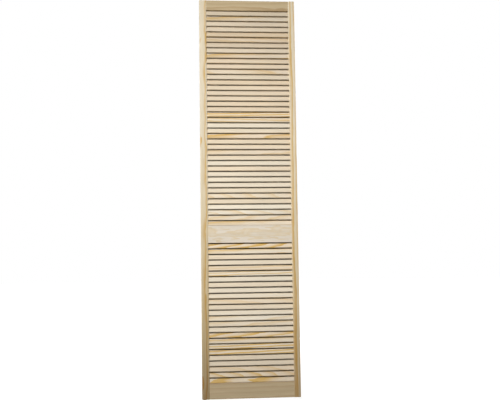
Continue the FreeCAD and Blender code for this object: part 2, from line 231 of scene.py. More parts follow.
class HardwareSettings(bpy.types.PropertyGroup):
    """Sizes and colours of the pivots, hinges and screws."""

    thread_pitch: metres("Thread pitch", "Rise of one turn of the bottom pin's thread", 0.00125)
    thread_depth: metres("Thread depth", "Depth of the bottom pin's thread", 0.0006)
    pin_step: metres("Pin step", "How much thinner the bottom pin's free end is", 0.00025)
    nut_step: metres("Nut step", "From the nut down to where the pin gets thinner", 0.0005)
    tip_chamfer: metres("Tip chamfer", "Chamfer at both tips of the bottom pin", 0.001)
    nut_bore_room: metres("Nut room", "Gap between the nut's bore and the pin", 0.00005)
    hinge_pin_radius: metres("Hinge pin radius", "Radius of a hinge pin's shank", 0.0015)
    hinge_pin_head: metres("Hinge pin head", "Height of a hinge pin's head", 0.001)
    screw_radius: metres("Screw radius", "Radius of a hinge screw's shank", 0.0017)
    screw_head_radius: metres("Screw head radius", "Radius of a hinge screw's head", 0.0031)
    screw_point: metres("Screw point", "Length of a hinge screw's point", 0.004)
    screw_pitch: metres("Screw pitch", "Rise of one turn of a hinge screw's thread", 0.0016)
    screw_thread_depth: metres("Screw thread depth", "Depth of a screw's thread", 0.00045)
    screw_spacing: metres("Screw spacing", "Between a hinge's end screws", 0.044)
    screw_near: metres("Near screw", "From the hinge pin to the middle screw", 0.0095)
    screw_far: metres("Far screws", "From the hinge pin to the end screws", 0.017)
    recess_length: metres("Recess length", "Length of each slot of a screw's recess", 0.0036)
    recess_width: metres("Recess width", "Width of each slot of a screw's recess", 0.0008)
    recess_depth: metres("Recess depth", "Depth of a screw's recess at its middle", 0.0012)
    zinc: rgb("Zinc plate", "Colour of the zinc-plated steel", (0.64, 0.65, 0.67))
    spring_wire_radius: metres("Spring wire", "Radius of the spring's wire", 0.00042)
    spring_spread: metres("Spring spread", "Extra climb of the spring's middle turns", 0.0034)
    spring_gap: metres("Spring gap", "Room under the spring and above it", 0.00005)
    spring_travel: metres("Spring travel", "How far the top pin presses the spring", 0.012)
    spring_turns: whole("Spring turns", "Number of whole turns of the spring", 11)
    spring_wire: rgb("Spring wire", "Colour of the spring's bare steel wire", (0.50, 0.50, 0.51))
    nylon: rgb("Nylon", "Colour of the plastic sleeves", (0.90, 0.89, 0.86))


class StudioSettings(bpy.types.PropertyGroup):
    """Camera and light."""

    key_power: watts("Key light", "Power of the soft light in front", 34.0)
    back_power: watts("Back light", "Power of the soft light behind", 68.0)
    side_power: watts("Side lights", "Power of each of the two soft lights at the sides", 26.0)
    fill_strength: plain("Fill", "Strength of the light from all round", 0.06)
    camera_place: spot("Camera", "Place of the camera", (-0.3479, -4.0204, 0.6603))
    camera_pitch: degrees("Pitch", "Angle by which the camera looks up", 4.608)
    camera_yaw: degrees("Yaw", "Angle by which the camera looks to the right", 5.009)
    camera_roll: degrees("Roll", "Angle by which the camera is tipped to its left", -0.760)
    camera_lens: plain("Lens", "Focal length of the camera in millimetres", 57.6)


class LeafSettings(bpy.types.PropertyGroup):
    """Everything that can be set on the closet door leaf."""

    slats: PointerProperty(type=SlatSettings)
    pine: PointerProperty(type=PineSettings)
    hardware: PointerProperty(type=HardwareSettings)
    studio: PointerProperty(type=StudioSettings)


# ---- surfaces ----


def ring_faces(rows, columns, joined):
    """Quads between neighbouring rings; joined also ties the last ring to the first."""
    here = np.arange(rows * columns).reshape(rows, columns)
    beside = np.roll(here, -1, axis=1)
    quads = np.stack([here, beside, np.roll(beside, -1, axis=0), np.roll(here, -1, axis=0)], axis=-1)
    return (quads if joined else quads[:-1]).reshape(-1, 4)


def points(*coordinates):
    """Points from their coordinates, which are numbers or arrays that fit each other."""
    return np.stack(np.broadcast_arrays(*coordinates), axis=-1)


def unit(vectors):
    """The same vectors, one unit long."""
    return vectors / np.linalg.norm(vectors, axis=-1, keepdims=True)


def added(name, data):
    """A new object in the scene, at the origin, with the given data."""
    made = bpy.data.objects.new(name, data)
    bpy.context.scene.collection.objects.link(made)
    return made


def add_piece(name, rings, material, body, nodes, joined=False):
    """Makes one piece from rings of points, hangs it on its body and hides the CAD nodes it
    replaces.

    The rings follow each other along the piece. The first and last are closed with a face, or
    tied to each other where the surface joins up with itself.
    """
    rows, columns = rings.shape[:2]
    faces = ring_faces(rows, columns, joined).tolist()
    if not joined:
        faces.append(list(range(columns))[::-1])
        faces.append(list(range((rows - 1) * columns, rows * columns)))
    mesh = bpy.data.meshes.new(name)
    mesh.from_pydata(rings.reshape(-1, 3), [], faces)
    mesh.shade_smooth()
    mesh.set_sharp_from_angle(angle=CREASE)
    mesh.materials.append(material)
    piece = added(name, mesh)
    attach(piece, body)
    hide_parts(*nodes)
    return piece


def turned(profile, centre, columns, share=1.0):
    """Rings of a turned piece on an upright axis.

    Each (radius, height) of the profile is carried once round the axis: x and y are the radius
    times the cosine and sine of the angle, and z is the height. Share is what each point's
    radius is multiplied by, one row for each point of the profile.
    """
    radius, height = np.asarray(profile, dtype=float).T[:, :, None]
    angle = round_angles(columns)
    x = centre[0] + radius * share * np.cos(angle)
    y = centre[1] + radius * share * np.sin(angle)
    return points(x, y, height)


def round_angles(columns):
    """Angles of a ring's points, evenly spaced over one turn."""
    return np.linspace(0.0, 2 * math.pi, columns, endpoint=False)[None, :]


def round_box(low, high):
    """Centre, radius, lowest and highest point of a round upright node, from its box."""
    centre = ((low[0] + high[0]) / 2, (low[1] + high[1]) / 2)
    return centre, (high[0] - low[0]) / 2, low[2], high[2]


def eased(corners, radius, steps=4):
    """A profile with each inner corner rounded by a parabola.

    The parabola leaves one side and joins the next at the given distance from the corner, or
    just short of a side's middle where the side is short.
    """
    corners = np.asarray(corners, dtype=float)
    middle = corners[1:-1, None]
    bend_ends = []
    for neighbours in (corners[:-2, None], corners[2:, None]):
        side = neighbours - middle
        length = np.linalg.norm(side, axis=-1, keepdims=True)
        bend_ends.append(middle + side * np.minimum(radius / length, 0.45))
    start, end = bend_ends
    share = np.linspace(0.0, 1.0, steps)[None, :, None]
    bends = (1 - share) ** 2 * start + 2 * share * (1 - share) * middle + share**2 * end
    return np.vstack([corners[:1], bends.reshape(-1, 2), corners[-1:]])


def dome(radius, base, rise, steps=7):
    """Profile of a domed head: a quarter of an ellipse from its rim to just short of its top."""
    turn = np.linspace(0.0, 0.49 * math.pi, steps)
    return points(radius * np.cos(turn), base + rise * np.sin(turn))


def threaded(foot, crown, low, radius, pitch, depth, columns):
    """Profile of a threaded piece, and what each of its points' radius is multiplied by.

    The thread runs from a low height up to the crown's first. The groove's depth is a triangle
    wave of the height in pitches less the angle in turns. It fades in over one pitch at each
    end.
    """
    high = crown[0][1]
    heights = np.arange(low, high, pitch / 6)[1:]
    turns = heights[:, None] / pitch - round_angles(columns) / (2 * math.pi)
    wave = 2 * np.abs(turns - np.round(turns))
    fade = np.clip(np.minimum(heights - low, high - heights) / pitch, 0.0, 1.0)[:, None]
    profile = np.vstack([foot, points(radius, heights), crown])
    share = np.ones((len(profile), columns))
    share[len(foot) : len(foot) + len(heights)] = 1 - depth / radius * wave * fade
    return profile, share


def slat_section(width, thickness):
    """Outline of a slat's end: half a circle at each edge and evenly spaced points between.

    Returns distances across the slat, from its middle towards its crest, and through it,
    positive on the face that looks up and into the room.
    """
    radius = thickness / 2
    core = width / 2 - radius
    turn = np.linspace(-math.pi / 2, math.pi / 2, 9)
    flat = np.linspace(core, -core, 13)[1:-1]
    level = np.full(len(flat), radius)
    edge, bulge = core + radius * np.cos(turn), radius * np.sin(turn)
    return np.concatenate([edge, flat, -edge, -flat]), np.concatenate([bulge, level, -bulge, -level])


def smooth(value):
    """0 below 0 and 1 above 1, with a cubic between them that starts and ends level."""
    held = np.clip(value, 0.0, 1.0)
    return held * held * (3 - 2 * held)


def slat_painted_shade(settings, across, through):
    """How much painted shade each point of a slat's section gets, from 0 to 1.

    The upper half of the room side and the lower half of the back side face each other deep
    between two slats. Shade is painted there: it sets in smoothly and ends before the rounded edge.
    """
    inward = across * np.sign(through)
    edge = settings.width / 2 - settings.thickness / 2
    sets_in = smooth((inward - settings.painted_shade_start) / settings.painted_shade_fade)
    return sets_in * smooth((edge - inward) / settings.painted_shade_fade + 0.5)


def slat_rings(settings, section, box, nose_z, chance):
    """Rings of one slat, and the same points in the board that it was cut from.

    The section is turned to the slat's angle and carried along X, while its middle line bows by
    one smooth arch and its angle drifts a little from end to end. The last half millimetre at
    each end is drawn in along a quarter circle. In the board, X is the place along the slat, Y
    the distance across it and Z the distance through it.
    """
    across, through = section
    low, high = box
    radius = settings.thickness / 2
    half_core = settings.width / 2 - radius
    ease, inner_rings = 0.0005, 49
    span = high[0] - low[0]
    end = np.linspace(0.0, ease, 4)[:-1] / span
    inner = np.linspace(ease, span - ease, inner_rings) / span
    share = np.concatenate([end, inner, 1 - end[::-1]])[:, None]
    x = low[0] + share * span
    nearest_end = np.minimum(x - low[0], high[0] - x)
    drawn_in = 1 - np.clip(nearest_end / ease, 0.0, 1.0)
    inset = ease * (1 - np.sqrt(1 - drawn_in**2))
    drift = chance.uniform(-1, 1) + 0.4 * chance.uniform(-1, 1) * (2 * share - 1)
    turn = settings.angle + settings.turn * drift
    bow = settings.bow * chance.uniform(-1, 1) * 4 * share * (1 - share)
    wide = across * (1 - inset / (settings.width / 2))
    deep = through * (1 - inset / radius) + bow
    middle_y = low[1] + radius + half_core * math.cos(settings.angle)
    middle_z = nose_z + half_core * math.sin(settings.angle)
    y = middle_y + wide * np.cos(turn) - deep * np.sin(turn)
    z = middle_z + wide * np.sin(turn) + deep * np.cos(turn)
    return points(x, y, z), points(x, wide, deep).reshape(-1, 3)


def in_trunk(in_board, pith, dive, ring):
    """Where points of a slat lay in their trunk: metres along it, then rings off its pith.

    The pith lies so far across and below the slat's middle line at its middle, and dives down
    by so much to the metre.
    """
    x, across, through = in_board.T
    below = through + pith[1] + dive * x
    return points(x, (across - pith[0]) / ring, below / ring)


def flat_sawn_trunk(in_board, place, along, across, ring, rings, thickness):
    """The trunk of a flat-sawn slat, cut so many rings off its pith.

    The slat's face crosses the rings at an angle whose sine is the ring's width over the
    spacing across, and its length crosses them by one ring in the spacing along.
    """
    tilt = math.asin(ring / across)
    off_pith = (rings + LATE) * ring
    dive = ring / along / math.cos(tilt)
    below = off_pith * math.cos(tilt) - dive * place - thickness / 2
    return in_trunk(in_board, (-off_pith * math.sin(tilt), below), dive, ring)


# ---- finishes ----


def linear(colour):
    """The light that a screen colour stands for, with full opacity."""
    return (*(c / 12.92 if c <= 0.04045 else ((c + 0.055) / 1.055) ** 2.4 for c in colour), 1.0)


def dimmed(colour, share):
    """A screen colour with each part multiplied by a share."""
    return tuple(part * share for part in colour)


def finish(name):
    """A new material with its node tree and its one surface shader."""
    material = bpy.data.materials.new(name)
    material.use_nodes = True
    tree = material.node_tree
    return material, tree, tree.nodes["Principled BSDF"]


def feed(tree, node, inputs):
    """Gives a node its inputs: one that is a socket is linked, and any other value is set."""
    for key, value in inputs.items():
        if isinstance(value, bpy.types.NodeSocket):
            tree.links.new(value, node.inputs[key])
        else:
            node.inputs[key].default_value = value


def put(tree, kind, inputs, **settings):
    """Adds a shader node with its settings and inputs."""
    node = tree.nodes.new(f"ShaderNode{kind}")
    for key, value in settings.items():
        setattr(node, key, value)
    feed(tree, node, inputs)
    return node


def calc(tree, operation, first, second=0.0, third=0.0):
    """One step of arithmetic."""
    return put(tree, "Math", {0: first, 1: second, 2: third}, operation=operation).outputs[0]


def stretched(tree, vector, scale):
    """A vector with each part multiplied, so that a pattern is drawn out along the grain."""
    return put(tree, "VectorMath", {0: vector, 1: scale}, operation="MULTIPLY").outputs[0]


def noise(tree, vector, scale, detail=2.0):
    """Smooth noise between 0 and 1, the same number of waves per unit of the vector as scale."""
    inputs = {"Vector": vector, "Scale": scale, "Detail": detail}
    return put(tree, "TexNoise", inputs).outputs[0]


def streaks(tree, vector, scale, detail):
    """Noise drawn out along the grain."""
    return noise(tree, stretched(tree, vector, scale), 1.0, detail)


def swayed(tree, value, noise_level, reach):
    """A value moved up and down by noise, by half the reach at the most."""
    return calc(tree, "MULTIPLY_ADD", calc(tree, "SUBTRACT", noise_level, 0.5), reach, value)


def between(tree, value, low, high, to_low, to_high):
    """A value taken smoothly from one range to another and held at its ends."""
    inputs = {"Value": value, 1: low, 2: high, 3: to_low, 4: to_high}
    node = put(tree, "MapRange", inputs, interpolation_type="SMOOTHSTEP")
    return node.outputs[0]


def mixed(tree, share, first, second, blend="MIX"):
    """Two colours mixed by a share of the second."""
    inputs = {0: share, 6: first, 7: second}
    node = put(tree, "Mix", inputs, data_type="RGBA", blend_type=blend)
    return node.outputs[2]


def brightened(tree, colour, level):
    """A colour with its red, green and blue multiplied by the same number."""
    grey = put(tree, "CombineColor", {0: level, 1: level, 2: level}).outputs[0]
    return mixed(tree, 1.0, colour, grey, "MULTIPLY")


def vector_value(tree, operation, first, second=(0.0, 0.0, 0.0)):
    """One step of arithmetic on vectors that gives a number."""
    node = put(tree, "VectorMath", {0: first, 1: second}, operation=operation)
    return node.outputs["Value"]


def object_place(tree):
    """Where a point is in its object, in metres."""
    return tree.nodes.new("ShaderNodeTexCoord").outputs["Object"]


def bumps(tree, strength, distance, height):
    """Small bumps in a surface, by a height of which one unit stands for the distance."""
    inputs = {"Strength": strength, "Distance": distance, "Height": height}
    return put(tree, "Bump", inputs).outputs[0]


def ramp(tree, value, stops):
    """A colour that runs through the given stops, each a position and a colour."""
    node = put(tree, "ValToRGB", {0: value})
    elements = node.color_ramp.elements
    for number, (position, tint) in enumerate(stops):
        stop = elements[number] if number < 2 else elements.new(position)
        stop.position = position
        stop.color = (*tint[:3], 1.0)
    return node.outputs[0]


def late_wood(tree, place, waviness, waves=2.6, ripple=0.55):
    """How much of a point is late wood, from 0 to 1.

    The distance from the pith in rings is bent by slow and quick noise. Its fraction runs
    through one ring: pale at first, darker up to nearly its end, then sharply pale again. Each
    ring's whole number picks how dark that ring gets.
    """
    off_pith = vector_value(tree, "LENGTH", stretched(tree, place, (0.0, 1.0, 1.0)))
    slow = streaks(tree, place, (waves, 0.16, 0.16), 1.0)
    quick = streaks(tree, place, (11.0, 0.5, 0.5), 2.0)
    bent = swayed(tree, swayed(tree, off_pith, slow, waviness), quick, ripple)
    stops = ((0.0, 0.0), (0.38, 0.10), (0.72, 0.62), (0.90, 1.0), (0.97, 0.35), (1.0, 0.0))
    level = ramp(tree, calc(tree, "FRACT", bent), [(at, (part,) * 3) for at, part in stops])
    number = {"W": calc(tree, "FLOOR", bent)}
    year = put(tree, "TexWhiteNoise", number, noise_dimensions="1D").outputs["Value"]
    return calc(tree, "MULTIPLY", level, calc(tree, "MULTIPLY_ADD", year, 0.55, 0.45))


def pine(tree, shader, grain, place, early, late, figure, bends):
    """Bare planed pine: early and late wood, fibres, resin canals, and dull end grain.

    Grain is the axis that the fibres follow. The colour goes from early to late wood by the
    late wood's share times the figure. Fibres are noise drawn out along the grain. Bends are
    the waviness of the rings, and where they are given, their waves and ripple.
    """
    here = tree.nodes.new("ShaderNodeTexCoord").outputs

    def grainwise(along, across):
        return (along, across, across) if grain == "X" else (across, across, along)

    fibres = streaks(tree, here["Object"], grainwise(16.0, 1300.0), 3.0)
    canals = streaks(tree, here["Object"], grainwise(55.0, 1900.0), 0.0)
    clouds = streaks(tree, here["Object"], grainwise(4.0, 38.0), 2.0)

    ring = late_wood(tree, place, *bends)
    share = calc(tree, "MULTIPLY", ring, figure)
    colour = mixed(tree, share, early, late)
    fibre_shade = between(tree, fibres, 0.25, 0.75, 0.93, 1.05)
    cloud_shade = between(tree, clouds, 0.25, 0.75, 0.955, 1.035)
    shade = calc(tree, "MULTIPLY", fibre_shade, cloud_shade)
    shade = calc(tree, "MULTIPLY", shade, between(tree, canals, 0.74, 0.82, 1.0, 0.86))
    colour = brightened(tree, colour, shade)

    facing = vector_value(tree, "DOT_PRODUCT", here["Normal"], grainwise(1.0, 0.0))
    end = between(tree, calc(tree, "ABSOLUTE", facing), 0.75, 0.98, 0.0, 1.0)
    colour = mixed(tree, end, colour, linear((0.80, 0.70, 0.55)), "MULTIPLY")

    normal = bumps(tree, 0.5, 0.00012, calc(tree, "MULTIPLY_ADD", ring, 0.6, fibres))
    roughness = between(tree, ring, 0.0, 1.0, 0.70, 0.52)
    feed(tree, shader, {"Normal": normal, "Roughness": roughness, "Specular IOR Level": 0.35})
    return colour


def board_pine(name, early, late, painted_foot_shade=None):
    """The pine of one stile or rail.

    A stile gets painted shade that darkens it towards its foot. The shade's two colours stand at
    the foot and half a metre up, and its edge is ragged along the fibres.
    """
    board = BOARDS[name]
    material, tree, shader = finish(f"pine_{name}")
    here = object_place(tree)
    trunk = Vector(board["run"]).to_track_quat("X", "Y").to_euler()
    scale = (1.0, board["ring"], board["ring"])
    inputs = {"Vector": here, "Location": board["pith"], "Rotation": trunk, "Scale": scale}
    place = put(tree, "Mapping", inputs, vector_type="TEXTURE").outputs[0]
    early, late, figure = linear(early), linear(late), board["figure"]
    bends = (board["waviness"], board["waves"], board["ripple"])
    wood = pine(tree, shader, board["grain"], place, early, late, figure, bends)
    # Painted shade that darkens the stile towards its foot.
    if painted_foot_shade is not None:
        foot, shin = painted_foot_shade
        fringe = streaks(tree, here, (170.0, 170.0, 1.3), 2.0)
        height = put(tree, "SeparateXYZ", {0: here}).outputs["Z"]
        ragged = swayed(tree, height, fringe, FOOT_SHADE_FRINGE)
        stops = ((0.0, linear(foot)), (SHIN_SHARE, linear(shin)), (1.0, (1.0, 1.0, 1.0)))
        tint = ramp(tree, calc(tree, "DIVIDE", ragged, FOOT_SHADE_TOP), stops)
        wood = mixed(tree, board["painted_foot_shade"], wood, tint, "MULTIPLY")
    feed(tree, shader, {"Base Color": wood})
    return material


def slat_pine(colours):
    """One finish for all slats; each slat's own wood and painted shade come from the attributes of
    its mesh.
    """
    material, tree, shader = finish("pine_slats")
    place = put(tree, "Attribute", {}, attribute_name="log_place").outputs["Vector"]
    wood = put(tree, "Attribute", {}, attribute_name="wood").outputs
    figure, warmth, painted_light_and_tone = put(tree, "SeparateColor", {0: wood["Color"]}).outputs
    early = mixed(tree, warmth, linear(colours.slat_early), linear(colours.slat_warm))
    late = linear(colours.slat_late)
    colour = pine(tree, shader, "X", place, early, late, figure, (wood["Alpha"],))
    # The lightness holds painted light and shade as well as the slat's own tone.
    feed(tree, shader, {"Base Color": brightened(tree, colour, painted_light_and_tone)})
    return material


def zinc_steel(name, colour):
    """Zinc-plated steel: cloudy grey metal with a fine grain and uneven polish."""
    material, tree, shader = finish(name)
    here = object_place(tree)
    clouds = noise(tree, here, 160.0, 3.0)
    grains = noise(tree, here, 2600.0, 1.0)
    inputs = {
        "Base Color": mixed(tree, clouds, linear(dimmed(colour, 0.86)), linear(colour)),
        "Roughness": between(tree, clouds, 0.3, 0.7, 0.36, 0.50),
        "Normal": bumps(tree, 0.25, 0.00003, grains),
        "Metallic": 1.0,
    }
    feed(tree, shader, inputs)
    return material


def moulded_nylon(name, colour):
    """Moulded nylon: milky plastic with a faintly pebbled skin."""
    material, tree, shader = finish(name)
    here = object_place(tree)
    pebbles = noise(tree, here, 1500.0, 2.0)
    clouds = noise(tree, here, 90.0, 2.0)
    inputs = {
        "Base Color": mixed(tree, clouds, linear(dimmed(colour, 0.94)), linear(colour)),
        "Roughness": between(tree, pebbles, 0.3, 0.7, 0.42, 0.56),
        "Normal": bumps(tree, 0.3, 0.00004, pebbles),
    }
    feed(tree, shader, inputs)
    return material


def beech():
    """Beech of the dowels: even pinkish brown with short dark flecks along the grain."""
    material, tree, shader = finish("beech_dowel")
    here = object_place(tree)
    flecks = streaks(tree, here, (260.0, 1800.0, 1800.0), 1.0)
    fibres = streaks(tree, here, (40.0, 1400.0, 1400.0), 3.0)
    base = mixed(tree, fibres, linear((0.74, 0.58, 0.43)), linear((0.84, 0.69, 0.54)))
    spotted = between(tree, flecks, 0.62, 0.74, 0.0, 0.5)
    flecked = mixed(tree, spotted, base, linear((0.52, 0.36, 0.25)))
    normal = bumps(tree, 0.4, 0.00008, fibres)
    feed(tree, shader, {"Base Color": flecked, "Normal": normal, "Roughness": 0.6})
    return material


def dress(names, material):
    """Gives CAD nodes their finish."""
    for name in names:
        mesh_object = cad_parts[name]
        for slot in mesh_object.material_slots:
            slot.material = material


# ---- pieces ----


def slat_places(settings, panel):
    """Number, CAD node and nose height of each slat of a panel, from the top down."""
    radius = settings.thickness / 2
    rise = (settings.width - settings.thickness) * math.sin(settings.angle)
    for node in sorted(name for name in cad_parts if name.startswith(f"{panel}_slats_")):
        low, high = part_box(node)
        numbers = [int(part) for part in node.split("_")[2:]]
        heights = (high[2] - radius - rise, low[2] + radius)
        for number, height in zip(numbers, heights):
            yield number, node, height


def along_panel(panel, number, quality):
    """A panel's wood or painted shade at one of its slats, in a straight line between the knots."""
    share = (number - 1) / (PANEL_WOOD_AND_SHADE[panel]["count"] - 1)
    return np.interp(share, PANEL_KNOTS, PANEL_WOOD_AND_SHADE[panel][quality])


def add_slat_wood(piece, in_board, painted_shade, settings, panel, number, chance):
    """Writes the wood and painted shade of one slat into its mesh, as two attributes of its points.

    The log place is where the point lay in its trunk. The wood is figure, warmth, lightness and
    waviness. Lightness is the slat's own tone times painted light and shade along its panel, and
    times painted shade deep between the slats. A slat that isn't flat-sawn gets its pith and its
    dive by chance. Every slat draws as many numbers, so that a change to one leaves the others as
    they are.
    """
    # The panel's share of this lightness is painted light and shade, lighter or darker as the light
    # falls along the panel; the random share is the slat's own tone.
    painted_light_and_tone = along_panel(panel, number, "painted_light_and_tone") * chance.uniform(0.97, 1.02)
    warmth = along_panel(panel, number, "warmth") + chance.uniform(-0.4, 0.4)
    side = chance.choice((-1, 1))
    pith = (chance.uniform(0.05, 0.11) * side, chance.uniform(0.0, 0.06))
    dive = chance.uniform(-0.012, 0.012)
    figure, waviness = chance.uniform(0.15, 0.6), PLAIN_WAVINESS
    rings = chance.integers(6, 11)
    if number in FLAT_SAWN[panel]:
        *flame, figure = FLAT_SAWN[panel][number]
        waviness = FLAT_WAVINESS
        trunk = flat_sawn_trunk(in_board, *flame, settings.wide_ring, rings, settings.thickness)
    else:
        trunk = in_trunk(in_board, pith, dive, settings.ring)
    trunk[:, 0] += number * LOG_SPACING
    place = piece.data.attributes.new("log_place", "FLOAT_VECTOR", "POINT")
    place.data.foreach_set("vector", trunk.astype(np.float32).ravel())
    # Painted shade: the slat is darkened deep between it and its neighbours, more on some slats of
    # the panel than others.
    painted_shade_factor = 1 - along_panel(panel, number, "painted_shade") * painted_shade
    values = np.tile(np.float32((figure, warmth, painted_light_and_tone, waviness)), (len(trunk), 1))
    values[:, 2] *= np.tile(painted_shade_factor, len(trunk) // len(painted_shade_factor))
    wood = piece.data.attributes.new("wood", "FLOAT_COLOR", "POINT")
    wood.data.foreach_set("color", values.ravel())


class CLOSETDOOR_OT_slats(bpy.types.Operator):
    """Makes the 65 slats: a rounded section carried from stile to stile"""

    bl_idname = "closet_door.slats"
    bl_label = "Slats"
    bl_options = {"UNDO"}

    def execute(self, context):
        settings = context.scene.closet_door.slats
        material = slat_pine(context.scene.closet_door.pine)
        section = slat_section(settings.width, settings.thickness)
        # Painted shade for the deep part of every slat's section.
        painted_shade = slat_painted_shade(settings, *section)
        chance = np.random.default_rng(settings.seed)
        places = [
            (panel, *place) for panel in PANEL_WOOD_AND_SHADE for place in slat_places(settings, panel)
        ]
        expected = sum(wood["count"] for wood in PANEL_WOOD_AND_SHADE.values())
        if len(places) != expected:
            raise RuntimeError(f"found room for {len(places)} slats instead of {expected}")
        for panel, number, node, nose_z in places:
            rings, in_board = slat_rings(settings, section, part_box(node), nose_z, chance)
            name = f"{panel}_slat_{number:02d}"
            piece = add_piece(name, rings, material, "leaf", [node])
            add_slat_wood(piece, in_board, painted_shade, settings, panel, number, chance)
        return {"FINISHED"}


class CLOSETDOOR_OT_stiles(bpy.types.Operator):
    """Finishes the two stiles in straight-grained pine, with painted shade towards their feet"""

    bl_idname = "closet_door.stiles"
    bl_label = "Stiles"
    bl_options = {"UNDO"}

    def execute(self, context):
        colours = context.scene.closet_door.pine
        for name in ("left_stile", "right_stile"):
            # Painted shade towards each stile's foot.
            painted_foot_shade = (colours.foot, colours.shin)
            material = board_pine(name, colours.stile_early, colours.stile_late, painted_foot_shade)
            dress([name], material)
        return {"FINISHED"}


class CLOSETDOOR_OT_rails(bpy.types.Operator):
    """Finishes the three rails and their dowels"""

    bl_idname = "closet_door.rails"
    bl_label = "Rails and dowels"
    bl_options = {"UNDO"}

    def execute(self, context):
        colours = context.scene.closet_door.pine
        dowel_finish = beech()
        for name in ("top_rail", "middle_rail", "bottom_rail"):
            early, late = getattr(colours, name), getattr(colours, f"{name}_late")
            dress([name], board_pine(name, early, late))
            dress([f"{name}_dowels"], dowel_finish)
        return {"FINISHED"}


def make_spring(settings, material):
    """The spring: a round wire wound up a helix, with its two end turns nearly closed.

    The climb for each turn is little more than the wire's own width at the ends. It grows from
    0.6 to 2.1 turns away from them, and is scaled so that the whole fills its space. Round the
    wire, a point is the middle plus the radius times the cosine outwards and the sine square to
    the wire and to that.
    """
    centre, outer, bottom, top = round_box(*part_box("top_pivot_spring"))
    radius = settings.spring_wire_radius
    coil = outer - radius
    per_turn, columns = 24, 12
    turn = np.arange(settings.spring_turns * per_turn + 1) / per_turn
    from_end = np.minimum(turn, settings.spring_turns - turn)
    climb = 2.1 * radius + settings.spring_spread * smooth(from_end / 1.5 - 0.4)
    rise = np.concatenate([[0.0], np.cumsum((climb[1:] + climb[:-1]) / (2 * per_turn))])
    rise *= (top - bottom - 2 * radius) / rise[-1]
    angle = 2 * math.pi * turn
    outwards = points(np.cos(angle), np.sin(angle), 0.0)
    middle = coil * outwards
    middle[:, 2] = rise
    middle += (*centre, bottom + radius)
    square = unit(np.cross(unit(np.gradient(middle, axis=0)), outwards))
    around = round_angles(columns)[..., None]
    offset = np.cos(around) * outwards[:, None] + np.sin(around) * square[:, None]
    rings = middle[:, None] + radius * offset
    name, body, node = "top_pivot_coil_spring", "top_pivot_core", "top_pivot_spring"
    spring = add_piece(name, rings, material, body, [node])
    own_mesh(spring)


class CLOSETDOOR_OT_top_pivot(bpy.types.Operator):
    """Makes the coil spring, and finishes the sprung pin and its sleeve"""

    bl_idname = "closet_door.top_pivot"
    bl_label = "Top pivot"
    bl_options = {"UNDO"}

    def execute(self, context):
        settings = context.scene.closet_door.hardware
        dress(["top_pivot_sleeve"], moulded_nylon("top_sleeve_nylon", settings.nylon))
        dress(["top_pivot_pin"], zinc_steel("top_pin_zinc", settings.zinc))
        make_spring(settings, zinc_steel("spring_wire", settings.spring_wire))
        return {"FINISHED"}


def make_bottom_pin(settings, material):
    """The pin: a plain end below the nut, a thread above it and a chamfer at each tip."""
    centre, radius, bottom, top = round_box(*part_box("bottom_pivot_pin"))
    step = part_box("bottom_pivot_nut")[0][2] - settings.nut_step
    end_radius = radius - settings.pin_step
    chamfer = settings.tip_chamfer
    innermost, bend, columns = 0.2, 0.0003, 32
    corners = [
        (innermost * end_radius, bottom),
        (end_radius - chamfer, bottom),
        (end_radius, bottom + chamfer),
        (end_radius, step - settings.pin_step),
        (radius, step),
    ]
    crown = [(radius, top - chamfer), (radius - chamfer, top), (innermost * radius, top)]
    pitch, depth = settings.thread_pitch, settings.thread_depth
    profile, share = threaded(eased(corners, bend), crown, step, radius, pitch, depth, columns)
    rings = turned(profile, centre, columns, share)
    name, node = "bottom_pivot_threaded_pin", "bottom_pivot_pin"
    add_piece(name, rings, material, "bottom_pivot", [node])


def make_nut(settings, material):
    """The nut: a hexagon whose corners are cut back by a cone at each face.

    Its radius is the lesser of the hexagon's and the cones'. The bore's wall joins the two
    faces inside.
    """
    centre, corner, bottom, top = round_box(*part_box("bottom_pivot_nut"))
    apothem = corner * math.cos(math.pi / 6)
    bore = round_box(*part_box("bottom_pivot_pin"))[1] + settings.nut_bore_room
    columns = 72
    hexagon = apothem / np.cos(round_angles(columns) % (math.pi / 3) - math.pi / 6)
    rise = np.array([0.0, 0.0003, 0.0006, 0.0009, 0.0013])
    heights = np.concatenate([bottom + rise, top - rise[::-1]])[:, None]
    from_face = np.minimum(heights - bottom, top - heights)
    face_radius = 0.94 * apothem
    outside = np.minimum(hexagon, face_radius + from_face * math.sqrt(3.0))
    radius = np.vstack([outside, np.full((2, columns), bore)])
    heights = np.vstack([heights, [[top]], [[bottom]]])
    profile = np.hstack([np.ones_like(heights), heights])
    rings = turned(profile, centre, columns, radius)
    name, node = "bottom_pivot_hexagon_nut", "bottom_pivot_nut"
    add_piece(name, rings, material, "bottom_pivot", [node], joined=True)


class CLOSETDOOR_OT_bottom_pivot(bpy.types.Operator):
    """Makes the threaded pin and its chamfered nut, and finishes the sleeve"""

    bl_idname = "closet_door.bottom_pivot"
    bl_label = "Bottom pivot"
    bl_options = {"UNDO"}

    def execute(self, context):
        settings = context.scene.closet_door.hardware
        dress(["bottom_pivot_sleeve"], moulded_nylon("bottom_sleeve_nylon", settings.nylon))
        zinc = zinc_steel("bottom_pin_zinc", settings.zinc)
        make_bottom_pin(settings, zinc)
        make_nut(settings, zinc)
        return {"FINISHED"}


def make_hinge_pin(settings, material, place):
    """The hinge pin: a straight shank between two domed heads."""
    centre, radius, bottom, top = round_box(*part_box(f"{place}_hinge_pin"))
    shank, head = settings.hinge_pin_radius, settings.hinge_pin_head
    rim = 0.35 * head
    lower = dome(radius, 0.0, head - rim)[::-1] * (1, -1) + (0, bottom + head - rim)
    upper = dome(radius, 0.0, head - rim) + (0, top - head + rim)
    ends = (bottom + head, top - head)
    neck = [(radius, ends[0]), (shank, ends[0]), (shank, ends[1]), (radius, ends[1])]
    rings = turned(np.vstack([lower, neck, upper]), centre, columns=32)
    name, node = f"{place}_hinge_riveted_pin", f"{place}_hinge_pin"
    add_piece(name, rings, material, "leaf", [node])


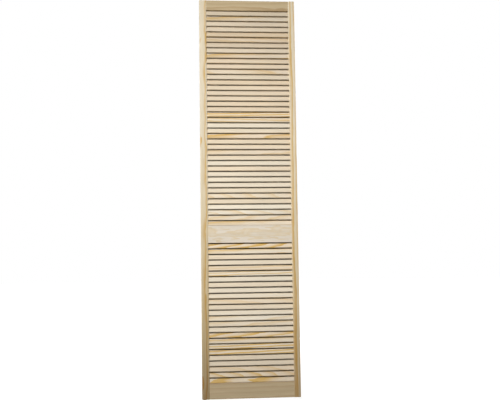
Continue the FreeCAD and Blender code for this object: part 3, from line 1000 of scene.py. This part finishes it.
def make_screws(settings, material, place):
    """Three screws: point, thread, shank and a countersunk head.

    Inside the head's rim the surface sinks by the recess's depth times a cross, which is the
    greater of two slots' shares. Each share fades out at the slot's sides and towards its ends.
    """
    low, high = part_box(f"{place}_hinge_fixed_leaf")
    middle = (low[2] + high[2]) / 2
    axis_x = round_box(*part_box(f"{place}_hinge_pin"))[0][0]
    screw_low, screw_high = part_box("hinge_screws")
    length = screw_high[1] - screw_low[1]
    radius, head = settings.screw_radius, settings.screw_head_radius
    thread_start, thread_end = settings.screw_point, 0.62 * length
    columns, face_rings = 40, 14
    point = [(0.1 * radius, 0.0), (0.6 * radius, 0.5 * thread_start)]
    shank = [(radius, thread_end), (radius, length - (head - radius)), (head, length)]
    face_radii = head * np.linspace(0.97, 0.03, face_rings)
    crown = np.vstack([shank, points(face_radii, length)])
    pitch, depth = settings.screw_pitch, settings.screw_thread_depth
    profile, share = threaded(point, crown, thread_start, radius, pitch, depth, columns)
    rings = turned(profile, (0.0, 0.0), columns, share)
    face = rings[-face_rings:]
    across, along = np.abs(face[..., 0]), np.abs(face[..., 1])
    edge = 0.15 * settings.recess_width
    arms = []
    for narrow, long in ((across, along), (along, across)):
        beside = (settings.recess_width / 2 - narrow) / edge + 0.5
        short_of_end = (settings.recess_length / 2 - long) / settings.recess_depth
        arms.append(np.clip(beside, 0.0, 1.0) * np.clip(short_of_end, 0.0, 1.0))
    face[..., 2] -= settings.recess_depth * np.maximum(*arms)
    lying = points(rings[..., 0], rings[..., 2], -rings[..., 1])
    near, far, apart = settings.screw_near, settings.screw_far, settings.screw_spacing / 2
    for number, (distance, rise) in enumerate(((far, -apart), (near, 0.0), (far, apart)), 1):
        name = f"{place}_hinge_screw_{number}"
        placed = lying + (axis_x - distance, screw_low[1], middle + rise)
        add_piece(name, placed, material, "leaf", ["hinge_screws"])


class CLOSETDOOR_OT_hinges(bpy.types.Operator):
    """Finishes the hinge leaves and makes their riveted pins and their screws"""

    bl_idname = "closet_door.hinges"
    bl_label = "Hinges and screws"
    bl_options = {"UNDO"}

    def execute(self, context):
        settings = context.scene.closet_door.hardware
        zinc = zinc_steel("hinge_zinc", settings.zinc)
        screw_zinc = zinc_steel("screw_zinc", dimmed(settings.zinc, 0.96))
        for place in ("top", "middle", "bottom"):
            dress([f"{place}_hinge_fixed_leaf", f"{place}_hinge_free_leaf"], zinc)
            make_hinge_pin(settings, zinc, place)
            make_screws(settings, screw_zinc, place)
        return {"FINISHED"}


# ---- studio ----


def pointed_light(name, place, target, size, spread, power):
    """A square soft light that looks at a point and sends its light within an angle."""
    light = bpy.data.lights.new(name, "AREA")
    light.shape = "SQUARE"
    light.size = size
    light.spread = math.radians(spread)
    light.energy = power
    lamp = added(name, light)
    lamp.location = place
    lamp.rotation_euler = (Vector(target) - Vector(place)).to_track_quat("-Z", "Y").to_euler()
    return lamp


def seen_directly(tree):
    """1 for rays from the camera, or by way of gloss or glass, and 0 for those that only light."""
    path = tree.nodes.new("ShaderNodeLightPath").outputs
    seen = calc(tree, "MAXIMUM", path["Is Camera Ray"], path["Is Glossy Ray"])
    return calc(tree, "MAXIMUM", seen, path["Is Transmission Ray"])


def floor_finish():
    """A pale floor that looks white and keeps a shadow: it glows only where it is seen."""
    material, tree, shader = finish("pale_floor")
    distance = vector_value(tree, "LENGTH", object_place(tree))
    feed(tree, shader, {"Base Color": linear((0.45, 0.45, 0.44)), "Roughness": 0.8})
    glow = between(tree, distance, 0.7, 2.6, 0.85, 1.0)
    glow = calc(tree, "MULTIPLY", glow, seen_directly(tree))
    light = put(tree, "Emission", {"Strength": glow})
    both = put(tree, "AddShader", {0: shader.outputs[0], 1: light.outputs[0]})
    feed(tree, tree.nodes["Material Output"], {"Surface": both.outputs[0]})
    return material


def make_floor():
    """A round floor at the leaf's lowest point, as one flat face of many sides."""
    radius, sides = 30.0, 96
    rim = turned([(radius, CAD_BOUNDS[0][2])], (0.0, 0.0), sides)[0]
    mesh = bpy.data.meshes.new("floor")
    mesh.from_pydata(rim, [], [list(range(sides))])
    mesh.materials.append(floor_finish())
    floor = added("floor", mesh)


def light_all_round(context, strength):
    """Even light from all round, which is plain white to the camera and in gloss or glass."""
    world = bpy.data.worlds.new("studio")
    context.scene.world = world
    world.use_nodes = True
    tree = world.node_tree
    level = between(tree, seen_directly(tree), 0.0, 1.0, strength, 1.0)
    feed(tree, tree.nodes["Background"], {"Color": (1.0, 1.0, 1.0, 1.0), "Strength": level})


def set_camera(context, settings):
    """Turns the camera right by yaw, then up by pitch, then about its own line by roll."""
    data = bpy.data.cameras.new("camera")
    data.sensor_width = 36.0
    data.lens = settings.camera_lens
    camera = added("camera", data)
    camera.matrix_world = (
        Matrix.Translation(settings.camera_place)
        @ Matrix.Rotation(-settings.camera_yaw, 4, "Z")
        @ Matrix.Rotation(math.pi / 2 + settings.camera_pitch, 4, "X")
        @ Matrix.Rotation(settings.camera_roll, 4, "Z")
    )
    context.scene.camera = camera


class CLOSETDOOR_OT_studio(bpy.types.Operator):
    """Sets the floor, the light and the camera"""

    bl_idname = "closet_door.studio"
    bl_label = "Studio"
    bl_options = {"UNDO"}

    def execute(self, context):
        settings = context.scene.closet_door.studio
        make_floor()
        front = ((-0.8, -3.2, 3.0), (0.0, 0.0, 0.6))
        behind = ((1.2, 3.4, 0.3), (0.0, 0.0, 1.0))
        pointed_light("key", *front, size=0.7, spread=90.0, power=settings.key_power)
        back = pointed_light("back", *behind, size=1.4, spread=120.0, power=settings.back_power)
        # The hinges' zinc would mirror this low lamp as plain white, so gloss doesn't see it.
        back.visible_glossy = False
        for name, x in (("left", -3.3), ("right", 3.3)):
            beside = ((x, 0.5, 0.9), (0.0, 0.0, 1.0))
            pointed_light(name, *beside, size=0.9, spread=120.0, power=settings.side_power)
        light_all_round(context, settings.fill_strength)
        set_camera(context, settings)
        context.scene.view_settings.view_transform = "Standard"
        return {"FINISHED"}


class CLOSETDOOR_PT_panel(bpy.types.Panel):
    """Lists what the closet door leaf is made of"""

    bl_idname = "CLOSETDOOR_PT_panel"
    bl_label = "Closet Door Leaf"
    bl_space_type = "VIEW_3D"
    bl_region_type = "UI"
    bl_category = "Closet Door"

    def draw(self, context):
        for operator in OPERATORS:
            self.layout.operator(operator.bl_idname)


SETTINGS = (SlatSettings, PineSettings, HardwareSettings, StudioSettings, LeafSettings)
OPERATORS = (
    CLOSETDOOR_OT_slats,
    CLOSETDOOR_OT_stiles,
    CLOSETDOOR_OT_rails,
    CLOSETDOOR_OT_top_pivot,
    CLOSETDOOR_OT_bottom_pivot,
    CLOSETDOOR_OT_hinges,
    CLOSETDOOR_OT_studio,
)


def register():
    """Adds the add-on's classes and its settings."""
    for made in (*SETTINGS, *OPERATORS, CLOSETDOOR_PT_panel):
        bpy.utils.register_class(made)
    bpy.types.Scene.closet_door = PointerProperty(type=LeafSettings)


def unregister():
    """Takes the settings and the classes away again."""
    del bpy.types.Scene.closet_door
    for made in reversed((*SETTINGS, *OPERATORS, CLOSETDOOR_PT_panel)):
        bpy.utils.unregister_class(made)


def main():
    """Registers the add-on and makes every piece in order."""
    register()
    bpy.ops.closet_door.slats()
    bpy.ops.closet_door.stiles()
    bpy.ops.closet_door.rails()
    bpy.ops.closet_door.top_pivot()
    bpy.ops.closet_door.bottom_pivot()
    bpy.ops.closet_door.hinges()
    bpy.ops.closet_door.studio()


if __name__ == "__main__":
    main()
